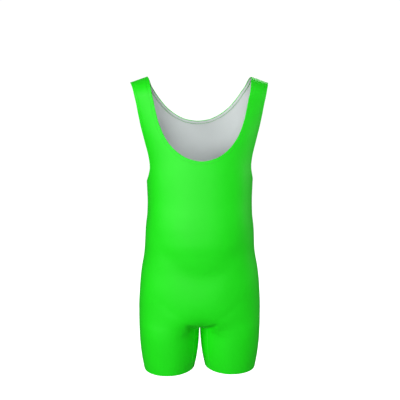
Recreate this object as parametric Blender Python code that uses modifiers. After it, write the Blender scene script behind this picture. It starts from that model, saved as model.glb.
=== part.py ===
"""Wrestling singlet filled out to its worn form with nobody in it, straps up and legs down.

Metres, +Z up. The origin is midway between the tops of the straps and the front faces -Y.
A drop is a depth below the origin. A turn is an angle round the trunk, 0 at the side seam
and 90 degrees at the middle. A fall is a length of cloth below the shoulder line.
The right half of each panel is laid out in three blocks of rows (strap, trunk, leg).
"""
from collections import namedtuple
from math import pi

import bpy
import numpy as np

OBJECT_NAME = "wrestling_singlet"

# Cloth and seams
WALL = 0.0015
HEM_WALL = 0.0010
HEM_WIDTH = 0.0080
SEAM_GAP = 0.0003
LAYER_GAP = 0.0003

# Shoulders
SHOULDER_INNER = 0.146
SHOULDER_SLOPE = 0.36
SHOULDER_FADE = 0.120
VAULT_HEIGHT = 0.055

# Where the trunk divides into two legs
DIVIDE_TOP = 0.600
CROTCH_DROP = 0.724
DIVIDE_POWER = 5.0
LEG_SQUARENESS = 2.2
LEG_DEPTH = 0.92
INSEAM_TURN = 145.0
LEVEL_DROP = 0.500
HEM_DROP = 0.852
ARMHOLE_DROP = 0.291

# Share of the armhole edge above its lower corner
ARMHOLE_CORNER = 0.885

# Rows and columns of each half panel
SEAM_COLUMN = 0.004
NECK_STEPS = 15
STRAP_STEPS = 16
STRAP_COLUMNS = 8
UNDERARM_COLUMNS = 5
TRUNK_STEPS = 11
FORK_STEPS = 12
LEG_STEPS = 9
SIDE_DROP_AT_FORK = 0.735

# Middle of each panel that runs between the legs
FRONT = -1
BACK = 1
TONGUE_COLUMNS = {FRONT: 3, BACK: 9}
TONGUE_LENGTH = {FRONT: 0.022, BACK: 0.135}

Ring = namedtuple("Ring", "drop half_width front back squareness leg_inner")
FIGURE = (
    Ring(0.000, 0.2280, 0.078, 0.080, 2.00, 0.0300),
    Ring(0.060, 0.2140, 0.082, 0.088, 2.00, 0.0300),
    Ring(0.120, 0.1880, 0.092, 0.096, 2.05, 0.0300),
    Ring(0.180, 0.1660, 0.102, 0.101, 2.15, 0.0300),
    Ring(0.240, 0.1540, 0.109, 0.101, 2.30, 0.0300),
    Ring(0.300, 0.1503, 0.112, 0.096, 2.40, 0.0300),
    Ring(0.340, 0.1490, 0.114, 0.092, 2.40, 0.0300),
    Ring(0.380, 0.1508, 0.117, 0.087, 2.40, 0.0300),
    Ring(0.415, 0.1552, 0.118, 0.084, 2.38, 0.0300),
    Ring(0.450, 0.1578, 0.118, 0.083, 2.35, 0.0300),
    Ring(0.500, 0.1620, 0.113, 0.090, 2.30, 0.0300),
    Ring(0.550, 0.1702, 0.108, 0.101, 2.30, 0.0300),
    Ring(0.600, 0.1750, 0.107, 0.111, 2.30, 0.0300),
    Ring(0.660, 0.1794, 0.105, 0.115, 2.30, 0.0250),
    Ring(0.700, 0.1800, 0.101, 0.111, 2.30, 0.0150),
    Ring(0.724, 0.1795, 0.098, 0.107, 2.30, 0.0022),
    Ring(0.750, 0.1788, 0.095, 0.101, 2.30, 0.0026),
    Ring(0.775, 0.1776, 0.092, 0.097, 2.30, 0.0037),
    Ring(0.815, 0.1735, 0.086, 0.088, 2.30, 0.0082),
    Ring(0.852, 0.1675, 0.080, 0.081, 2.30, 0.0155),
)

Edge = namedtuple("Edge", "turn drop")
NECK_FRONT = (
    Edge(22.3, 0.0000),
    Edge(25.6, 0.0427),
    Edge(28.6, 0.0849),
    Edge(33.2, 0.1271),
    Edge(42.2, 0.1691),
    Edge(55.6, 0.2001),
    Edge(71.9, 0.2185),
    Edge(90.0, 0.2252),
)
NECK_BACK = (
    Edge(22.8, 0.0000),
    Edge(25.3, 0.0184),
    Edge(29.1, 0.0405),
    Edge(34.5, 0.0633),
    Edge(42.4, 0.0864),
    Edge(56.5, 0.1090),
    Edge(72.5, 0.1210),
    Edge(90.0, 0.1248),
)
ARMHOLE = (
    Edge(12.5, 0.0158),
    Edge(14.0, 0.0423),
    Edge(15.0, 0.0851),
    Edge(15.0, 0.1283),
    Edge(16.2, 0.1719),
    Edge(19.2, 0.2152),
    Edge(20.4, 0.2450),
    Edge(16.5, 0.2690),
    Edge(8.5, 0.2850),
    Edge(0.0, ARMHOLE_DROP),
)


def smooth_curve(steps, values, at):
    """Cubic through the values that turns only where they do."""
    steps = np.asarray(steps, float)
    values = np.asarray(values, float)
    secants = np.diff(values) / np.diff(steps)
    product = secants[:-1] * secants[1:]
    total = np.where(product > 0, secants[:-1] + secants[1:], 1.0)
    slopes = np.concatenate([secants[:1], np.maximum(product, 0) * 2 / total, secants[-1:]])
    at = np.clip(at, steps[0], steps[-1])
    k = np.clip(np.searchsorted(steps, at) - 1, 0, len(steps) - 2)
    width = steps[k + 1] - steps[k]
    t = (at - steps[k]) / width
    rise = (-2 * t**3 + 3 * t**2) * (values[k + 1] - values[k])
    lean = (t**3 - 2 * t**2 + t) * slopes[k] + (t**3 - t**2) * slopes[k + 1]
    return values[k] + rise + lean * width


def ring_size(name, drop):
    return smooth_curve([r.drop for r in FIGURE], [getattr(r, name) for r in FIGURE], drop)


def ring_depth(y, drop):
    """Depth of the figure on the side that y lies on."""
    return np.where(np.asarray(y) < 0, ring_size("front", drop), ring_size("back", drop))


def shoulder_drop(across, drop):
    fade = np.clip(1 - (drop / SHOULDER_FADE) ** 2, 0, 1) ** 2
    return SHOULDER_SLOPE * (across - SHOULDER_INNER) * fade


def fall_to_height(fall):
    """Height lost by a length of cloth that bends down over the shoulder."""
    bend = np.clip(fall / VAULT_HEIGHT, 0, pi / 2)
    return VAULT_HEIGHT * (1 - np.cos(bend)) + np.maximum(fall - VAULT_HEIGHT * pi / 2, 0)


def level_fall(drop):
    """Fall of a place below the shoulders, where falls and drops run level."""
    return drop + VAULT_HEIGHT * (pi / 2 - 1)


def trunk_points(side, turn, fall):
    """Points of the trunk at turns in radians and falls in metres."""
    height = fall_to_height(fall)
    drop = height
    for _ in range(8):
        square = ring_size("squareness", drop)
        along_x = np.abs(np.cos(turn) / ring_size("half_width", drop)) ** square
        along_y = np.abs(np.sin(turn) / ring_depth(side + 0 * drop, drop)) ** square
        radius = (along_x + along_y) ** (-1 / square)
        drop = height + shoulder_drop(np.abs(radius * np.cos(turn)), drop)
    vault = np.sin(np.clip(fall / VAULT_HEIGHT, 0, pi / 2))
    return np.stack([radius * np.cos(turn), side * radius * np.sin(turn) * vault, -drop], -1)


def fork_field(x, y, drop):
    """Zero on the cloth where the trunk divides: one ring blended into two legs."""
    part = np.clip((drop - DIVIDE_TOP) / (CROTCH_DROP - DIVIDE_TOP), 0, 1)
    share = part**DIVIDE_POWER
    half_width = ring_size("half_width", drop)
    leg_inner = ring_size("leg_inner", drop)
    thick = np.abs(y / ring_depth(y, drop))
    square = ring_size("squareness", drop)
    whole = np.abs(x / half_width) ** square + thick**square - 1
    ease = np.where(drop < CROTCH_DROP, leg_inner, ring_size("leg_inner", CROTCH_DROP))
    from_middle = np.sqrt(x**2 + ease**2) - (half_width + leg_inner) / 2
    reach = (half_width - leg_inner) / 2
    leg = np.abs(from_middle / reach) ** LEG_SQUARENESS + (thick / LEG_DEPTH) ** LEG_SQUARENESS
    return (1 - share) * whole + share * (leg - 1)


def cast(start, away_x, away_y, drop, far):
    """Points where level rays from an inner place meet the cloth."""
    near = np.zeros_like(drop)
    for _ in range(44):
        middle = (near + far) / 2
        inside = fork_field(start + middle * away_x, middle * away_y, drop) < 0
        near = np.where(inside, middle, near)
        far = np.where(inside, far, middle)
    return np.stack([start + near * away_x, near * away_y, -drop], -1)


def fork_points(angle, drop):
    """Points at angles round a leg: 0 at the side seam, 90 in front, 270 behind."""
    centre = ring_size("half_width", drop) / 2
    away_x, away_y = np.cos(angle), -np.sin(angle)
    far = np.where(away_x < 0, centre / np.maximum(-away_x, 1e-9), 0.3)
    return cast(centre, away_x, away_y, drop, np.minimum(far, 0.3))


def fork_angle(points):
    centre = ring_size("half_width", -points[..., 2]) / 2
    return np.arctan2(-points[..., 1], points[..., 0] - centre) % (2 * pi)


def centre_line(side):
    """Middle of a panel from the level row down to the crotch seam."""
    upper = np.linspace(LEVEL_DROP, DIVIDE_TOP, 40)[:-1]
    lower = DIVIDE_TOP + (CROTCH_DROP - DIVIDE_TOP) * np.sin(np.linspace(0, pi / 2, 300))
    drop = np.concatenate([upper, lower])
    zero = np.zeros_like(drop)
    front = cast(zero, zero, zero - 1, drop, zero + 0.2)
    beyond = fork_angle(front) > np.radians(INSEAM_TURN)
    if side < 0:
        return front[~beyond]
    back = cast(zero, zero, zero + 1, drop, zero + 0.2)
    return np.concatenate([back, front[beyond][::-1][1:]])


def arc_lengths(points):
    steps = np.linalg.norm(np.diff(points, axis=0), axis=1)
    return np.concatenate([[0.0], np.cumsum(steps)])


def along(lengths, values, places):
    """Values read off at the given lengths, one column at a time."""
    return np.stack([np.interp(places, lengths, column) for column in values.T], -1)


def shares(count, *sizes):
    """Shares from 0 to 1 in steps that change evenly between the given sizes."""
    sizes = sizes or (1.0,)
    steps = np.interp(np.linspace(0, 1, count), np.linspace(0, 1, len(sizes)), sizes)
    return np.concatenate([[0.0], np.cumsum(steps)]) / steps.sum()


def edge_line(edges, side, steps):
    """Turns and falls at the given shares of a neck or armhole edge, shoulder first."""
    turn = np.radians([edge.turn for edge in edges])
    drop = np.array([edge.drop for edge in edges])
    fall = np.full(len(drop), SEAM_GAP / 2)
    for _ in range(8):
        fall[1:] += (drop + trunk_points(side, turn, fall)[:, 2])[1:]
    step = arc_lengths(np.stack([turn * np.mean(ring_size("half_width", drop)), fall], -1))
    fine = np.linspace(0, step[-1], 400)
    step = np.append(step, 2 * step[-1] - step[-2])
    turn = smooth_curve(step, np.append(turn, 2 * turn[-1] - turn[-2]), fine)
    fall = smooth_curve(step, np.append(fall, fall[-2]), fine)
    lengths = arc_lengths(trunk_points(side, turn, fall))
    return along(lengths, np.stack([turn, fall], -1), lengths[-1] * steps)


def hem_line(line, side, turn_sense, leans):
    """Places one hem width inside an edge, leaning along it by the given shares."""
    small = 1e-5
    place = trunk_points(side, line[:, 0], line[:, 1])
    by_turn = (trunk_points(side, line[:, 0] + small, line[:, 1]) - place) / small
    by_fall = (trunk_points(side, line[:, 0], line[:, 1] + small) - place) / small
    path = np.gradient(line, axis=0)
    path[-1] = (turn_sense, 0.0)
    tangent = path[:, :1] * by_turn + path[:, 1:] * by_fall
    tangent /= np.linalg.norm(tangent, axis=1)[:, None]
    inward = by_fall - turn_sense * by_turn / np.linalg.norm(by_turn, axis=1)[:, None]
    inward -= np.sum(inward * tangent, axis=1)[:, None] * tangent
    inward /= np.linalg.norm(inward, axis=1)[:, None]
    moves = HEM_WIDTH * (inward + leans[:, None] * tangent)
    result = line.copy()
    for number, move in enumerate(moves):
        frame = np.stack([by_turn[number], by_fall[number]], -1)
        result[number] += np.linalg.lstsq(frame, move, rcond=None)[0]
    result[0, 1] = line[0, 1]
    return result


def even_places(points, places, count, first=None, last=None):
    """Values along a row at even lengths, with a narrow first or last column if asked."""
    lengths = arc_lengths(points)
    start, stop = first or 0.0, lengths[-1] - (last or 0.0)
    steps = np.linspace(start, stop, count + 1 - (first is not None) - (last is not None))
    begin = [] if first is None else [0.0]
    end = [] if last is None else [lengths[-1]]
    return along(lengths, places, np.concatenate([begin, steps, end]))


def seam_turn(drop):
    """Half the gap at a side seam, as a turn."""
    return SEAM_GAP / 2 / ring_size("half_width", drop)


def upper_places(side, neck_edges):
    """Turns and falls of the strap rows and of the trunk rows down to the level row."""
    neck = edge_line(neck_edges, side, shares(NECK_STEPS, 0.15, 1.2, 1.2, 1.0))
    neck[-1, 0] = pi / 2
    lean = np.zeros(len(neck))
    lean[-3:] = (-0.15, -0.45, -1.0)
    neck_hem = hem_line(neck, side, 1.0, lean)
    strap_shares = ARMHOLE_CORNER * shares(STRAP_STEPS, 0.15, 1.2, 1.2, 1.0)
    under_shares = (1 - ARMHOLE_CORNER) * shares(UNDERARM_COLUMNS, 1.0, 1.0, 0.3)
    steps = np.concatenate([strap_shares, ARMHOLE_CORNER + under_shares[1:]])
    armhole = edge_line(ARMHOLE, side, steps)
    lean = np.zeros(len(armhole))
    corner_hems = []
    for amount in (-0.6, 0.0, 0.6):
        lean[STRAP_STEPS] = amount
        armhole_hem = hem_line(armhole, side, -1.0, lean)
        corner_hems.append(armhole_hem[STRAP_STEPS].copy())
    armhole_hem[STRAP_STEPS] = corner_hems[0]
    armhole[-1, 0] = armhole_hem[-1, 0] = seam_turn(ARMHOLE_DROP)
    share = np.linspace(0, 1, 160)
    extra = STRAP_STEPS - NECK_STEPS
    centre = neck[-1, 1] + HEM_WIDTH * (1 + 1.6 * np.arange(extra))
    strap = []
    for row in range(STRAP_STEPS + 1):
        on_neck = row <= NECK_STEPS
        start = neck_hem[row] if on_neck else (pi / 2, centre[row - NECK_STEPS - 1])
        stop = armhole_hem[row]
        turn = start[0] + (stop[0] - start[0]) * share
        fall = start[1] + (stop[1] - start[1]) * (1 - (1 - share) ** 3)
        path = trunk_points(side, turn, fall)
        inner = STRAP_COLUMNS - (2 if on_neck else 1)
        places = even_places(path, np.stack([turn, fall], -1), inner)
        edge = neck[row:row + 1] if on_neck else neck[:0]
        strap.append(np.concatenate([edge, places, armhole[row:row + 1]]))
    top = np.concatenate([strap[-1], armhole[STRAP_STEPS + 1:]])
    second = top.copy()
    second[:STRAP_COLUMNS - 1, 1] += np.linspace(1.6, 0.7, STRAP_COLUMNS - 1) * HEM_WIDTH
    second[STRAP_COLUMNS - 1:STRAP_COLUMNS + 1] = corner_hems[1:]
    second[STRAP_COLUMNS + 1:] = armhole_hem[STRAP_STEPS + 1:]
    turn = np.linspace(pi / 2, seam_turn(LEVEL_DROP), 200)
    fall = np.full(200, level_fall(LEVEL_DROP))
    path = trunk_points(side, turn, fall)
    columns = STRAP_COLUMNS + UNDERARM_COLUMNS
    level = even_places(path, np.stack([turn, fall], -1), columns, last=SEAM_COLUMN)
    trunk = [top] + [second + (level - second) * t for t in shares(TRUNK_STEPS, 0.6, 1.0, 1.0)]
    return strap, trunk


def fork_places(side):
    """Angles and drops of the rows from the level row to the fork, and of the leg rows."""
    sense = -side
    line = centre_line(side)
    lengths = arc_lengths(line)
    length = lengths[-1] - SEAM_GAP / 2
    fork = length - TONGUE_LENGTH[side]
    middle = along(lengths, line, fork * shares(FORK_STEPS, 1.2, 1.0, 0.8))
    tongue_shares = shares(TONGUE_COLUMNS[side], 1.2, 1.0, 0.4)
    tongue = along(lengths, line, fork + (length - fork) * tongue_shares)
    side_drops = LEVEL_DROP + (SIDE_DROP_AT_FORK - LEVEL_DROP) * shares(FORK_STEPS)
    columns = STRAP_COLUMNS + UNDERARM_COLUMNS
    rows = []
    for inner, side_drop in zip(middle, side_drops):
        start = fork_angle(inner)
        stop = 0.0 if side < 0 else 2 * pi
        stop += sense * seam_turn(side_drop) * 2
        angle = np.linspace(start, stop, 260)
        drop = np.linspace(-inner[2], side_drop, 260)
        path = fork_points(angle, drop)
        path[0] = inner
        rows.append(even_places(path, np.stack([angle, drop], -1), columns, last=SEAM_COLUMN))
    tongue_places = np.stack([fork_angle(tongue), -tongue[:, 2]], -1)[::-1]
    top = np.concatenate([tongue_places[:-1], rows[-1]])
    reach = (ring_size("half_width", HEM_DROP) - ring_size("leg_inner", HEM_DROP)) / 2
    start = np.radians(INSEAM_TURN) - sense * SEAM_GAP / 2 / reach
    stop = (0.0 if side < 0 else 2 * pi) + sense * SEAM_GAP / 2 / reach
    angle, drop = np.linspace(start, stop, 260), np.full(260, HEM_DROP)
    path = fork_points(angle, drop)
    hem = even_places(path, np.stack([angle, drop], -1), len(top) - 1, SEAM_COLUMN, SEAM_COLUMN)
    leg = [top + (hem - top) * t for t in shares(LEG_STEPS, 0.45, 1.0, 1.0)]
    return rows, leg, tongue[::-1], middle


def panel(side, neck_edges):
    """Points, triangles and named places of the right half of a panel."""
    strap, trunk = upper_places(side, neck_edges)
    fork_rows, leg_rows, tongue, middle = fork_places(side)
    points = []

    def lay(row_points):
        first = len(points)
        points.extend(row_points)
        return list(range(first, len(points)))

    def lay_trunk(row):
        return lay(trunk_points(side, row[:, 0], row[:, 1]))

    upper = [lay_trunk(row) for row in strap]
    body = [upper[-1] + lay_trunk(trunk[0][STRAP_COLUMNS + 1:])]
    body += [lay_trunk(row) for row in trunk[1:]]
    for row, inner in zip(fork_rows[1:], middle[1:]):
        row_points = fork_points(row[:, 0], row[:, 1])
        row_points[0] = inner
        body.append(lay(row_points))
    legs = [lay(tongue[:-1]) + body[-1]]
    legs += [lay(fork_points(row[:, 0], row[:, 1])) for row in leg_rows[1:]]
    beside_neck = [corner for row in upper[:NECK_STEPS + 1] for corner in row[:2]]
    beside_arm = [corner for row in upper for corner in row[-2:]]
    middle_rows = upper[NECK_STEPS:] + body[1:]
    marks = {
        "neck": beside_neck + [upper[NECK_STEPS + 1][0]],
        "armhole": beside_arm + body[0][STRAP_COLUMNS:] + body[1][STRAP_COLUMNS - 1:],
        "seam": upper[0] + [body[0][-1], body[1][-1]],
        "middle": [row[0] for row in middle_rows] + legs[0][:1 + TONGUE_COLUMNS[side]],
    }
    crossed = {(0, NECK_STEPS, 0), (1, 0, STRAP_COLUMNS - 1)}
    faces = []
    for number, block in enumerate((upper, body, legs)):
        for row in range(len(block) - 1):
            for column in range(len(block[row]) - 1):
                near, far = block[row], block[row + 1]
                cell = (near[column], far[column], far[column + 1], near[column + 1])
                if (number, row, column) in crossed:
                    cell = cell[1:] + cell[:1]
                pair = [cell[:3], (cell[0], cell[2], cell[3])]
                faces += [face[::-1] for face in pair] if side > 0 else pair
    points = np.array(points)
    points[marks["middle"], 0] = 0.0
    return points, faces, marks


def vertex_normals(points, faces, middle):
    """Outward normal at each point, each face weighted by its angle there."""
    normals = np.zeros_like(points)
    for face in faces:
        corners = points[list(face)]
        normal = np.cross(corners[1] - corners[0], corners[2] - corners[0])
        normal /= np.linalg.norm(normal)
        for k in range(3):
            ahead = corners[(k + 1) % 3] - corners[k]
            behind = corners[(k + 2) % 3] - corners[k]
            cosine = ahead @ behind / np.linalg.norm(ahead) / np.linalg.norm(behind)
            normals[face[k]] += normal * np.arccos(np.clip(cosine, -1, 1))
    normals[middle, 0] = 0.0
    return normals / np.linalg.norm(normals, axis=1)[:, None]


def hem(panels, normals, name):
    """Points and faces of one turned hem, joined across the seams it passes."""
    places, directions, faces, index = [], [], [], {}
    for number, (points, panel_faces, marks) in enumerate(panels):
        for corner in sorted(set(marks[name])):
            partner = None
            if number == 1 and corner in marks["seam"]:
                partner = index[(0, panels[0][2]["seam"][marks["seam"].index(corner)])]
            if partner is None:
                index[(number, corner)] = len(places)
                places.append(points[corner])
                directions.append(normals[number][corner])
            else:
                index[(number, corner)] = partner
                places[partner] = (places[partner] + points[corner]) / 2
                directions[partner] = directions[partner] + normals[number][corner]
        for face in panel_faces:
            if all((number, corner) in index for corner in face):
                faces.append(tuple(index[(number, corner)] for corner in face))
    places, directions = np.array(places), np.array(directions)
    directions /= np.linalg.norm(directions, axis=1)[:, None]
    return places - directions * (WALL + LAYER_GAP), faces


def material(name, colour, roughness):
    result = bpy.data.materials.new(name)
    result.use_nodes = True
    shader = result.node_tree.nodes["Principled BSDF"]
    shader.inputs["Base Color"].default_value = (*colour, 1.0)
    shader.inputs["Roughness"].default_value = roughness
    return result


def cloth_object(name, collection, points, faces, wall, cloth, mirrored):
    """Open sheet of cloth thickened toward the inside of the garment."""
    mesh = bpy.data.meshes.new(name)
    mesh.from_pydata([tuple(point) for point in points], [], faces)
    mesh.materials.append(cloth)
    mesh.polygons.foreach_set("use_smooth", [True] * len(mesh.polygons))
    result = bpy.data.objects.new(name, mesh)
    collection.objects.link(result)
    if mirrored:
        mirror = result.modifiers.new("mirror", "MIRROR")
        mirror.use_axis = (True, False, False)
        mirror.use_mirror_merge = True
        mirror.merge_threshold = 0.00001
    solid = result.modifiers.new("wall", "SOLIDIFY")
    solid.thickness = wall
    solid.offset = -1.0
    solid.use_rim = True
    return result


def build():
    for old in list(bpy.data.objects):
        bpy.data.objects.remove(old, do_unlink=True)
    collection = bpy.data.collections.new(OBJECT_NAME)
    bpy.context.scene.collection.children.link(collection)
    panels = panel(FRONT, NECK_FRONT), panel(BACK, NECK_BACK)
    normals = [vertex_normals(points, faces, marks["middle"]) for points, faces, marks in panels]
    for name, (points, faces, _) in zip(("front_panel", "back_panel"), panels):
        cloth = material(name + "_cloth", (0.036, 0.86, 0.028), 0.6)
        cloth_object(name, collection, points, faces, WALL, cloth, True)
    points, faces = hem(panels, normals, "neck")
    cloth = material("neck_hem_cloth", (0.5, 0.53, 0.53), 0.7)
    cloth_object("neck_hem", collection, points, faces, HEM_WALL, cloth, True)
    points, faces = hem(panels, normals, "armhole")
    for name, sense in (("armhole_hem_left", 1), ("armhole_hem_right", -1)):
        cloth = material(name + "_cloth", (0.5, 0.53, 0.53), 0.7)
        placed = points * np.array([sense, 1, 1])
        turned = [face if sense > 0 else face[::-1] for face in faces]
        cloth_object(name, collection, placed, turned, HEM_WALL, cloth, False)


build()
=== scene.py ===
from collections import namedtuple
from math import pi

import bpy
import numpy as np
from mathutils import Matrix, Vector
from mathutils.kdtree import KDTree


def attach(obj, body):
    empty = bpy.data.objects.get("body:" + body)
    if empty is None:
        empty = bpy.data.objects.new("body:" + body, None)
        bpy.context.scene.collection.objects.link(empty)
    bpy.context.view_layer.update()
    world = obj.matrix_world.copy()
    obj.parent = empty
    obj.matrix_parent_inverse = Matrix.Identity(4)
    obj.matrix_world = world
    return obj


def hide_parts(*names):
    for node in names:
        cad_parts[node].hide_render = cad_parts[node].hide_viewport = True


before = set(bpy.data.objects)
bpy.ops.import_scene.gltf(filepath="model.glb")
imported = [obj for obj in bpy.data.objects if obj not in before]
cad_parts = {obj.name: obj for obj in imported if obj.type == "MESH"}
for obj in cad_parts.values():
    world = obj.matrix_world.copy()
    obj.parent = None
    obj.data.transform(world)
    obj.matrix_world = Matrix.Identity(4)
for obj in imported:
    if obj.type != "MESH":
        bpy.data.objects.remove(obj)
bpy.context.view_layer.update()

bl_info = {
    "name": "Wrestling Singlet",
    "version": (1, 0, 0),
    "blender": (4, 5, 0),
    "location": "View3D > Sidebar > Singlet",
    "description": "Knit panels, turned hems and stitching of a filled-out wrestling singlet",
    "category": "Object",
}

# Cut of the garment, in metres. A drop is a depth below the strap tops, a turn is an angle
# round the trunk from the side seam, a fall is a length of cloth below the shoulder line.
SHOULDER_INNER = 0.146
SHOULDER_SLOPE = 0.36
SHOULDER_FADE = 0.120
VAULT_HEIGHT = 0.055
DIVIDE_TOP = 0.600
CROTCH_DROP = 0.724
DIVIDE_POWER = 5.0
LEG_SQUARENESS = 2.2
INNER_SQUARENESS = 1.9
LEG_DEPTH = 0.92
INSEAM_TURN = 145.0
LEVEL_DROP = 0.500
HEM_DROP = 0.852
ARMHOLE_DROP = 0.291
SIDE_DROP_AT_FORK = 0.735
ARMHOLE_CORNER = 0.885
TURNING = 0.008
FRONT = -1
BACK = 1

Ring = namedtuple("Ring", "drop half_width front back squareness leg_inner")
FIGURE = (
    Ring(0.000, 0.2280, 0.078, 0.080, 2.00, 0.0300),
    Ring(0.060, 0.2140, 0.082, 0.088, 2.00, 0.0300),
    Ring(0.120, 0.1880, 0.092, 0.096, 2.05, 0.0300),
    Ring(0.180, 0.1660, 0.102, 0.101, 2.15, 0.0300),
    Ring(0.240, 0.1540, 0.109, 0.101, 2.30, 0.0300),
    Ring(0.300, 0.1503, 0.112, 0.096, 2.40, 0.0300),
    Ring(0.340, 0.1490, 0.114, 0.092, 2.40, 0.0300),
    Ring(0.380, 0.1508, 0.117, 0.087, 2.40, 0.0300),
    Ring(0.415, 0.1552, 0.118, 0.084, 2.38, 0.0300),
    Ring(0.450, 0.1578, 0.118, 0.083, 2.35, 0.0300),
    Ring(0.500, 0.1620, 0.113, 0.090, 2.30, 0.0300),
    Ring(0.550, 0.1702, 0.108, 0.101, 2.30, 0.0300),
    Ring(0.600, 0.1750, 0.107, 0.111, 2.30, 0.0300),
    Ring(0.660, 0.1794, 0.105, 0.115, 2.30, 0.0250),
    Ring(0.700, 0.1800, 0.101, 0.111, 2.30, 0.0150),
    Ring(0.724, 0.1795, 0.098, 0.107, 2.30, 0.0022),
    Ring(0.750, 0.1788, 0.095, 0.101, 2.30, 0.0026),
    Ring(0.775, 0.1776, 0.092, 0.097, 2.30, 0.0037),
    Ring(0.815, 0.1735, 0.086, 0.088, 2.30, 0.0082),
    Ring(0.852, 0.1675, 0.080, 0.081, 2.30, 0.0155),
)

Edge = namedtuple("Edge", "turn drop")
NECK_FRONT = (
    Edge(22.3, 0.0000),
    Edge(25.6, 0.0427),
    Edge(28.6, 0.0849),
    Edge(33.2, 0.1271),
    Edge(42.2, 0.1691),
    Edge(55.6, 0.2001),
    Edge(71.9, 0.2185),
    Edge(90.0, 0.2252),
)
NECK_BACK = (
    Edge(22.8, 0.0000),
    Edge(25.3, 0.0184),
    Edge(29.1, 0.0405),
    Edge(34.5, 0.0633),
    Edge(42.4, 0.0864),
    Edge(56.5, 0.1090),
    Edge(72.5, 0.1210),
    Edge(90.0, 0.1248),
)
ARMHOLE = (
    Edge(12.6, 0.0158),
    Edge(12.9, 0.0205),
    Edge(14.0, 0.0423),
    Edge(15.0, 0.0851),
    Edge(15.0, 0.1283),
    Edge(16.2, 0.1719),
    Edge(19.2, 0.2152),
    Edge(20.4, 0.2450),
    Edge(16.5, 0.2690),
    Edge(8.5, 0.2850),
    Edge(0.0, ARMHOLE_DROP),
)

# Soft swells and hollows of the filled-out cloth. Each is a line across the panel at a drop,
# bowed upward away from the middle, with a length, a width and a rise.
Crease = namedtuple("Crease", "side across drop tilt bow length width rise")
CREASES = (
    Crease(FRONT, 0.115, 0.160, -10.0, 0.0, 0.040, 0.026, 0.0014),
    Crease(FRONT, 0.115, 0.228, -10.0, 0.0, 0.040, 0.030, -0.0014),
    Crease(FRONT, 0.000, 0.440, 0.0, -5.0, 0.120, 0.040, 0.0014),
    Crease(FRONT, 0.000, 0.550, 0.0, -6.5, 0.130, 0.036, -0.0026),
    Crease(FRONT, 0.000, 0.625, 0.0, -2.0, 0.070, 0.030, 0.0012),
    Crease(FRONT, 0.145, 0.480, 0.0, 0.0, 0.040, 0.030, -0.0014),
    Crease(FRONT, 0.140, 0.590, 0.0, 0.0, 0.050, 0.040, 0.0016),
    Crease(FRONT, 0.075, 0.655, 38.0, 0.0, 0.050, 0.012, -0.0008),
    Crease(BACK, 0.080, 0.340, 25.0, 0.0, 0.060, 0.014, -0.0010),
    Crease(BACK, 0.085, 0.375, 20.0, 0.0, 0.060, 0.014, -0.0010),
    Crease(BACK, 0.070, 0.730, 30.0, 0.0, 0.050, 0.012, -0.0012),
)
# Fold where the front turns under above the legs, level as seen from a little above
FOLD_DROP = 0.7035
FOLD_LEAN = 0.44
FOLD_DEPTH = 0.080
FOLD_REACH = 0.034
FOLD_RISE = 5.0
FOLD_WIDTH = 0.009
FOLD_FRONT = 0.015
FOLD_FADE = 0.020
# Where the trunk's middle ends and the legs' own round begins, at each side of the middle
SPREAD_START = 0.020
SPREAD_WIDTH = 0.040
SOFT_STRETCH = 0.018
# Hollow that the stitches press into the cloth
HEM_PRESS = 0.0005
PRESS_WIDTH = 0.0016

# Turned hems and the threads that hold them and cross the seams
HEM_START = 0.0004
HEM_ROWS = 5
HEM_GAP = 0.0001
EDGE_FOLD_WIDTH = 0.0018
THREAD_PITCH = 0.0022
LOOP_SWING = 0.0024

# Soft lights aimed at the middle of the garment: angles round it and above level, in degrees,
# and each one's share of the key light's power
LIGHT_DISTANCE = 3.0
Light = namedtuple("Light", "name side_angle height_angle width share")
LIGHTS = (
    Light("front", -12, 6, 1.5, 0.96),
    Light("left", -50, 16, 1.3, 0.76),
    Light("top", 20, 52, 1.5, 0.30),
    Light("right_edge", 95, 10, 0.8, 0.40),
    Light("back", 165, 35, 1.6, 0.70),
)

# Rows and columns of each half panel, and how their sizes change along an edge
EDGE_SPACING = (0.15, 1.2, 1.2, 1.0)
NECK_STEPS = 31
STRAP_STEPS = 32
STRAP_COLUMNS = 14
UNDERARM_COLUMNS = 9
TRUNK_STEPS = 22
FORK_STEPS = 64
LEG_STEPS = 36
MIDDLE_CROWDING = 0.6
TONGUE_COLUMNS = {FRONT: 8, BACK: 32}
TONGUE_LENGTH = {FRONT: 0.022, BACK: 0.135}
SEAM_COLUMN = 0.004
KNIT_RADIUS = 0.16

MIRROR = np.array([-1, 1, 1])
VAULT_EXTRA = VAULT_HEIGHT * (pi / 2 - 1)


def unit(vectors):
    """The same directions, each 1 long."""
    return vectors / np.maximum(np.linalg.norm(vectors, axis=-1, keepdims=True), 1e-12)


def eased(share):
    """A share kept between 0 and 1 that starts and stops gently."""
    share = np.clip(share, 0, 1)
    return share * share * (3 - 2 * share)


def smooth_curve(steps, values, at):
    """Cubic through the values that turns only where they do."""
    steps = np.asarray(steps, float)
    values = np.asarray(values, float)
    secants = np.diff(values) / np.diff(steps)
    product = secants[:-1] * secants[1:]
    total = np.where(product > 0, secants[:-1] + secants[1:], 1.0)
    slopes = np.concatenate([secants[:1], np.maximum(product, 0) * 2 / total, secants[-1:]])
    at = np.clip(at, steps[0], steps[-1])
    k = np.clip(np.searchsorted(steps, at) - 1, 0, len(steps) - 2)
    width = steps[k + 1] - steps[k]
    t = (at - steps[k]) / width
    rise = (-2 * t**3 + 3 * t**2) * (values[k + 1] - values[k])
    lean = (t**3 - 2 * t**2 + t) * slopes[k] + (t**3 - t**2) * slopes[k + 1]
    return values[k] + rise + lean * width


def ring_size(name, drop):
    """One size of the figure at a drop."""
    return smooth_curve([r.drop for r in FIGURE], [getattr(r, name) for r in FIGURE], drop)


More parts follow.
